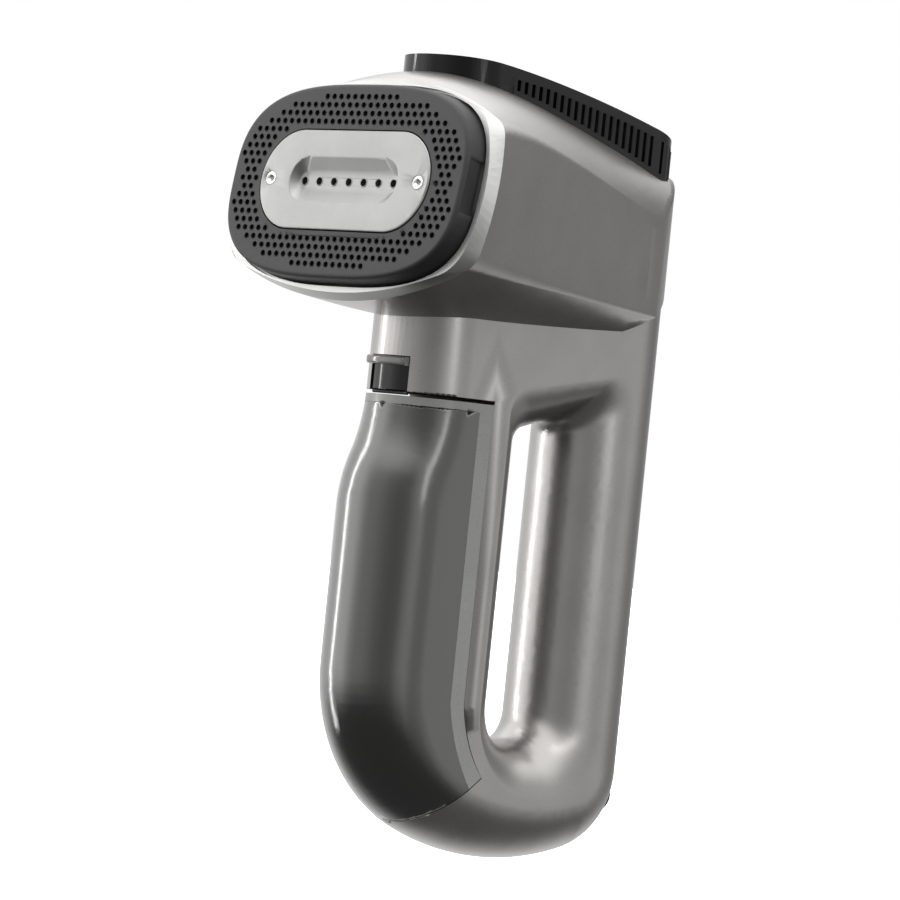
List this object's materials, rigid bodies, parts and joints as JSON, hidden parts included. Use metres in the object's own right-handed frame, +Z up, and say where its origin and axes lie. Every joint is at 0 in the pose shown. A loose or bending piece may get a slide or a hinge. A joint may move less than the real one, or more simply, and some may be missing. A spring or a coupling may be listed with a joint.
{
  "type": "garment steamer",
  "caption": "Handheld garment steamer with a loop handle, a removable water tank, a steam plate inside a perforated suction ring and a ribbed exhaust on top.",
  "frame": {"origin": "on the handle's axis at the middle of the grip", "axes": "+Z up along the handle towards the head, the steaming face looks along -Y, +X to the right seen from the face"},
  "size_m": [0.1266, 0.1652, 0.2774],
  "materials": {
    "silver_paint": "satin silver paint on moulded plastic",
    "bezel_silver": "bright satin silver",
    "grille_black": "fine matt charcoal",
    "plate_aluminium": "bead blasted",
    "cast_aluminium": "as cast",
    "steel": "plain steel",
    "gasket_rubber": "red silicone",
    "seal_rubber": "black rubber",
    "gloss_black": "high gloss",
    "vent_black": "satin black",
    "tank_smoke": "smoky clear plastic",
    "frame_grey": "grey, half gloss",
    "lip_grey": "clear grey",
    "inner_plastic": "plain",
    "white_plastic": "plain",
    "board_green": "solder mask",
    "silicone_tube": "milky silicone",
    "lens_white": "clear lens"
  },
  "bodies": {
    "steamer": {"head_housing": "silver_paint", "loop_shell": "silver_paint", "front_bezel": "bezel_silver", "steam_plate": "plate_aluminium", "plate_screws": "steel", "plate_gasket": "gasket_rubber", "steam_chamber": "cast_aluminium", "heating_element": "steel", "thermostat": "steel", "thermal_fuse": "white_plastic", "heater_bracket": "inner_plastic", "suction_duct": "inner_plastic", "fan_volute": "inner_plastic", "motor": "steel", "motor_clamp": "inner_plastic", "top_panel": "gloss_black", "exhaust_vent": "vent_black", "indicator_lens": "lens_white", "control_board": "board_green", "dock_socket": "inner_plastic", "inlet_tube": "silicone_tube", "steam_tube": "silicone_tube", "pump_body": "inner_plastic", "pump_spring": "steel", "latch_spring": "steel", "latch_stop": "inner_plastic", "button_spring": "steel", "steam_switch": "inner_plastic", "terminal_block": "white_plastic", "cord_gland": "seal_rubber", "cord_clamp": "inner_plastic"},
    "tank": {"water_tank": "tank_smoke", "tank_frame": "frame_grey", "tank_valve": "inner_plastic", "dock_seal": "seal_rubber", "suction_pipe": "inner_plastic", "valve_spring": "steel"},
    "tank_plug": {"fill_plug": "seal_rubber"},
    "poppet": {"valve_poppet": "white_plastic"},
    "grille": {"suction_grille": "grille_black"},
    "fan": {"impeller": "white_plastic", "motor_shaft": "steel"},
    "plunger": {"pump_plunger": "steel"},
    "latch": {"latch_block": "gloss_black", "latch_lip": "lip_grey"},
    "button": {"steam_button": "gloss_black"},
    "power": {"power_button": "gloss_black"},
    "mode": {"mode_button": "gloss_black"}
  },
  "joints": [
    {"name": "tank_slide", "type": "slide", "parent": "steamer", "child": "tank", "axis": [0, -1, 0], "range_m": [0, 0.06]},
    {"name": "plug_pull", "type": "slide", "parent": "tank", "child": "tank_plug", "axis": [0, 1, 0], "range_m": [0, 0.004]},
    {"name": "poppet_lift", "type": "slide", "parent": "tank", "child": "poppet", "axis": [0, -1, 0], "range_m": [0, 0.0015], "stiffness_N_per_m": 200, "deforming": ["valve_spring"]},
    {"name": "grille_pull", "type": "slide", "parent": "steamer", "child": "grille", "axis": [0, -0.988, 0.1547], "range_m": [0, 0.025]},
    {"name": "fan_spin", "type": "hinge", "parent": "steamer", "child": "fan", "pos_m": [0, -0.06, 0.1265], "axis": [0, 1, 0], "continuous": true},
    {"name": "plunger_stroke", "type": "slide", "parent": "steamer", "child": "plunger", "axis": [0, 1, 0], "range_m": [0, 0.003], "stiffness_N_per_m": 400, "deforming": ["pump_spring"]},
    {"name": "latch_press", "type": "slide", "parent": "steamer", "child": "latch", "axis": [0, 1, 0], "range_m": [0, 0.0025], "stiffness_N_per_m": 400, "deforming": ["latch_spring"]},
    {"name": "steam_press", "type": "slide", "parent": "steamer", "child": "button", "axis": [0, -1, 0], "range_m": [0, 0.002], "stiffness_N_per_m": 600, "deforming": ["button_spring"]},
    {"name": "power_press", "type": "slide", "parent": "steamer", "child": "power", "axis": [0, 0, -1], "range_m": [0, 0.001], "stiffness_N_per_m": 600},
    {"name": "mode_press", "type": "slide", "parent": "steamer", "child": "mode", "axis": [0, 0, -1], "range_m": [0, 0.001], "stiffness_N_per_m": 600}
  ]
}
